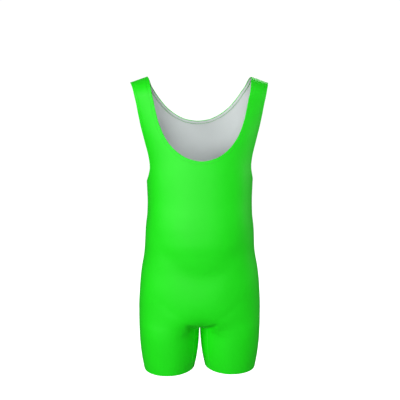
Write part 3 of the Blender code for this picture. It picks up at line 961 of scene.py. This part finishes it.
class SingletSewing(bpy.types.PropertyGroup):
    """Sizes and colours of the threads."""

    thread: bpy.props.FloatProperty(
        name="Thread thickness", description="Diameter of the sewing thread",
        default=0.00060, min=0.0001, max=0.002, precision=5, subtype="DISTANCE", unit="LENGTH",
    )
    stitch: bpy.props.FloatProperty(
        name="Stitch length", description="Length of one stitch that shows",
        default=0.0026, min=0.001, max=0.01, precision=4, subtype="DISTANCE", unit="LENGTH",
    )
    gap: bpy.props.FloatProperty(
        name="Stitch gap", description="Gap between two stitches",
        default=0.0007, min=0.0002, max=0.01, precision=4, subtype="DISTANCE", unit="LENGTH",
    )
    swing: bpy.props.FloatProperty(
        name="Seam width", description="Width of the thread that crosses a seam",
        default=0.0030, min=0.001, max=0.01, precision=4, subtype="DISTANCE", unit="LENGTH",
    )
    thread_colour: bpy.props.FloatVectorProperty(
        name="Hem thread colour", description="Colour of the thread along the hems",
        default=(0.020, 0.45, 0.012), size=3, min=0, max=1, subtype="COLOR",
    )
    seam_colour: bpy.props.FloatVectorProperty(
        name="Seam thread colour", description="Colour of the thread across the seams",
        default=(0.05, 0.80, 0.04), size=3, min=0, max=1, subtype="COLOR",
    )


class SingletStage(bpy.types.PropertyGroup):
    """Camera, floor and lights."""

    distance: bpy.props.FloatProperty(
        name="Camera distance", description="Distance from the camera to what it looks at",
        default=1.6, min=0.5, max=10, subtype="DISTANCE", unit="LENGTH",
    )
    elevation: bpy.props.FloatProperty(
        name="Camera elevation", description="Angle of the camera above level",
        default=np.radians(10.0), min=-1.5, max=1.5, subtype="ANGLE", unit="ROTATION",
    )
    azimuth: bpy.props.FloatProperty(
        name="Camera azimuth", description="Angle of the camera round the singlet",
        default=np.radians(-3.5), min=-3.2, max=3.2, subtype="ANGLE", unit="ROTATION",
    )
    aim: bpy.props.FloatVectorProperty(
        name="Camera aim", description="Point that the camera looks at",
        default=(0.0010, 0.0, -0.347), size=3, subtype="TRANSLATION", unit="LENGTH",
    )
    floor_drop: bpy.props.FloatProperty(
        name="Floor drop", description="Depth of the floor below the strap tops",
        default=1.25, min=0.9, max=5, subtype="DISTANCE", unit="LENGTH",
    )
    key: bpy.props.FloatProperty(
        name="Key light", description="Power of the large light in front",
        default=47.0, min=0, max=1000, unit="POWER",
    )
    ambient: bpy.props.FloatProperty(
        name="Surrounding light", description="Strength of the even light from all round",
        default=0.12, min=0, max=5, subtype="FACTOR",
    )


class SINGLET_OT_panels(bpy.types.Operator):
    """Makes the front and back panels as thin knit shells, green outside and pale inside."""

    bl_idname = "singlet.panels"
    bl_label = "Front and Back Panels"

    def execute(self, context):
        wall = context.scene.singlet_cloth.wall
        for name, side, edges, size, area in (
            ("front_panel_cloth", FRONT, NECK_FRONT, (0.43, 0.875), 0.302),
            ("back_panel_cloth", BACK, NECK_BACK, (0.47, 0.905), 0.345),
        ):
            points, quads, maps = welded(*panel_mesh(side, edges))
            points, quads, maps = mirrored(points, quads, maps)
            faces = [material("green_knit"), material("inside_knit")]
            piece = add_sheet(name, points, quads, faces, maps)
            thicken(piece, wall, 1)
            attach(piece, "root")
            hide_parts(name.replace("_cloth", ""))
        return {"FINISHED"}


class SINGLET_OT_hems(bpy.types.Operator):
    """Makes the turned hems inside the neck and armholes, with the rounded fold at each edge."""

    bl_idname = "singlet.hems"
    bl_label = "Turned Hems"

    def execute(self, context):
        cloth = context.scene.singlet_cloth
        layers = np.linspace(HEM_START, cloth.hem_width, HEM_ROWS)
        gap = cloth.wall + HEM_GAP
        face, inside = material("green_knit"), material("inside_knit")
        neck = hem_sheet("neck_hem_cloth", closed_neck, layers, gap, cloth.hem_wall, inside)
        left = hem_sheet(
            "armhole_hem_left_cloth", armhole_path, layers, gap, cloth.hem_wall, inside,
        )
        right = left.copy()
        right.data = left.data.copy()
        right.name = "armhole_hem_right_cloth"
        context.scene.collection.objects.link(right)
        right.data.transform(Matrix.Diagonal((*MIRROR, 1)))
        right.data.flip_normals()
        for piece, node, length in (
            (neck, "neck_hem", 1.02),
            (left, "armhole_hem_left", 0.66),
            (right, "armhole_hem_right", 0.66),
        ):
            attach(piece, "root")
            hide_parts(node)
        deep = cloth.wall + cloth.hem_wall + 0.0003
        place, normal = armhole_path(0.0)
        for name, edge in (
            ("neck_fold", closed_neck(0.0)),
            ("armhole_fold_left", (place, normal)),
            ("armhole_fold_right", (place * MIRROR, normal * MIRROR)),
        ):
            sewn_on(turned_edge(name, *edge, deep, EDGE_FOLD_WIDTH, face))
        return {"FINISHED"}


class SINGLET_OT_hem_stitches(bpy.types.Operator):
    """Sews the hems: short stitches on the face and a looped thread on the inside."""

    bl_idname = "singlet.hem_stitches"
    bl_label = "Hem Stitches"

    def execute(self, context):
        cloth, sewing = context.scene.singlet_cloth, context.scene.singlet_sewing
        radius = sewing.thread / 2
        inside = cloth.wall + cloth.hem_wall + HEM_GAP
        for name, path, on_both_sides in (
            ("neck_stitches", closed_neck, False), ("armhole_stitches", armhole_path, True),
        ):
            place, normal = path(cloth.hem_width)
            face = place - normal * HEM_PRESS
            lots = [
                stitch_row(face, normal, sewing.stitch, sewing.gap, radius),
                zigzag(place - normal * inside, -normal, LOOP_SWING, radius, True),
            ]
            if on_both_sides:
                lots += [flipped(lot) for lot in lots]
            sewn_on(add_sheet(name, *joined(lots), [material("edge_thread")]))
        return {"FINISHED"}


class SINGLET_OT_seam_stitches(bpy.types.Operator):
    """Sews the side seams, shoulder seams and inseam with a thread that crosses each seam."""

    bl_idname = "singlet.seam_stitches"
    bl_label = "Seam Stitches"

    def execute(self, context):
        sewing = context.scene.singlet_sewing
        radius = sewing.thread * 0.4
        wall = context.scene.singlet_cloth.wall
        lots = []
        for line in (side_seam, shoulder_seam):
            place, normal = line()
            lot = zigzag(place - normal * wall, -normal, sewing.swing, radius)
            lots += [lot, flipped(lot)]
        place, normal = inseam()
        lots.append(zigzag(place, normal, sewing.swing, radius))
        lots.append(zigzag(place - normal * wall, -normal, sewing.swing, radius))
        sewn_on(add_sheet("seam_stitches", *joined(lots), [material("seam_thread")]))
        return {"FINISHED"}


class SINGLET_OT_stage(bpy.types.Operator):
    """Sets up the pale floor, the soft lights and the camera."""

    bl_idname = "singlet.stage"
    bl_label = "Stage"

    def execute(self, context):
        scene = context.scene
        stage = scene.singlet_stage
        scene.view_settings.view_transform = "Standard"
        size = 9.0
        corners = [(-size, -size), (size, -size), (size, size), (-size, size)]
        points = np.array([(x, y, -stage.floor_drop) for x, y in corners])
        pale = bpy.data.materials.new("pale_floor")
        pale.use_nodes = True
        shader = pale.node_tree.nodes["Principled BSDF"]
        for socket, value in (
            ("Base Color", (0.9, 0.9, 0.9, 1.0)), ("Roughness", 0.9),
            ("Emission Color", (1.0, 1.0, 1.0, 1.0)), ("Emission Strength", 0.9),
        ):
            shader.inputs[socket].default_value = value
        floor = add_sheet("floor", points, [(0, 1, 2, 3)], [pale])
        floor.visible_diffuse = False
        floor.visible_glossy = False

        world = bpy.data.worlds.new("studio")
        scene.world = world
        world.use_nodes = True
        tree = world.node_tree
        make = node_maker(tree)
        seen, lit = (
            make("ShaderNodeBackground", (("Color", (1.0, 1.0, 1.0, 1.0)), ("Strength", strength)))
            for strength in (1.05, stage.ambient)
        )
        ray = make("ShaderNodeLightPath").outputs["Is Camera Ray"]
        mix = make("ShaderNodeMixShader", ((0, ray), (1, lit.outputs[0]), (2, seen.outputs[0])))
        tree.links.new(mix.outputs[0], tree.nodes["World Output"].inputs[0])

        middle = Vector((0.0, 0.0, -0.42))
        for name, side_angle, height_angle, width, share in LIGHTS:
            light = bpy.data.lights.new(name, "AREA")
            light.shape = "DISK"
            light.size = width
            light.energy = stage.key * share
            away = towards(np.radians(side_angle), np.radians(height_angle))
            looking_at(name, light, middle, away, LIGHT_DISTANCE)

        camera = bpy.data.cameras.new("camera")
        camera.lens = 50.0
        camera.sensor_width = 36.0
        camera.clip_start, camera.clip_end = 0.05, 60.0
        away = towards(stage.azimuth, stage.elevation)
        scene.camera = looking_at("camera", camera, Vector(stage.aim), away, stage.distance)
        return {"FINISHED"}


class SINGLET_PT_sidebar(bpy.types.Panel):
    """Lists the sizes and colours of the singlet and the buttons that make it."""

    bl_idname = "SINGLET_PT_sidebar"
    bl_label = "Wrestling Singlet"
    bl_space_type = "VIEW_3D"
    bl_region_type = "UI"
    bl_category = "Singlet"

    def draw(self, context):
        for title, settings, buttons in (
            ("Cloth", context.scene.singlet_cloth, (SINGLET_OT_panels, SINGLET_OT_hems)),
            ("Sewing", context.scene.singlet_sewing,
             (SINGLET_OT_hem_stitches, SINGLET_OT_seam_stitches)),
            ("Stage", context.scene.singlet_stage, (SINGLET_OT_stage,)),
        ):
            box = self.layout.box()
            box.label(text=title)
            for name in settings.__annotations__:
                box.prop(settings, name)
            for button in buttons:
                box.operator(button.bl_idname)


CLASSES = (
    SingletCloth,
    SingletSewing,
    SingletStage,
    SINGLET_OT_panels,
    SINGLET_OT_hems,
    SINGLET_OT_hem_stitches,
    SINGLET_OT_seam_stitches,
    SINGLET_OT_stage,
    SINGLET_PT_sidebar,
)


def register():
    for item in CLASSES:
        bpy.utils.register_class(item)
    bpy.types.Scene.singlet_cloth = bpy.props.PointerProperty(type=SingletCloth)
    bpy.types.Scene.singlet_sewing = bpy.props.PointerProperty(type=SingletSewing)
    bpy.types.Scene.singlet_stage = bpy.props.PointerProperty(type=SingletStage)


def unregister():
    del bpy.types.Scene.singlet_stage
    del bpy.types.Scene.singlet_sewing
    del bpy.types.Scene.singlet_cloth
    for item in reversed(CLASSES):
        bpy.utils.unregister_class(item)


def main():
    register()
    bpy.ops.singlet.panels()
    bpy.ops.singlet.hems()
    bpy.ops.singlet.hem_stitches()
    bpy.ops.singlet.seam_stitches()
    bpy.ops.singlet.stage()


if __name__ == "__main__":
    main()
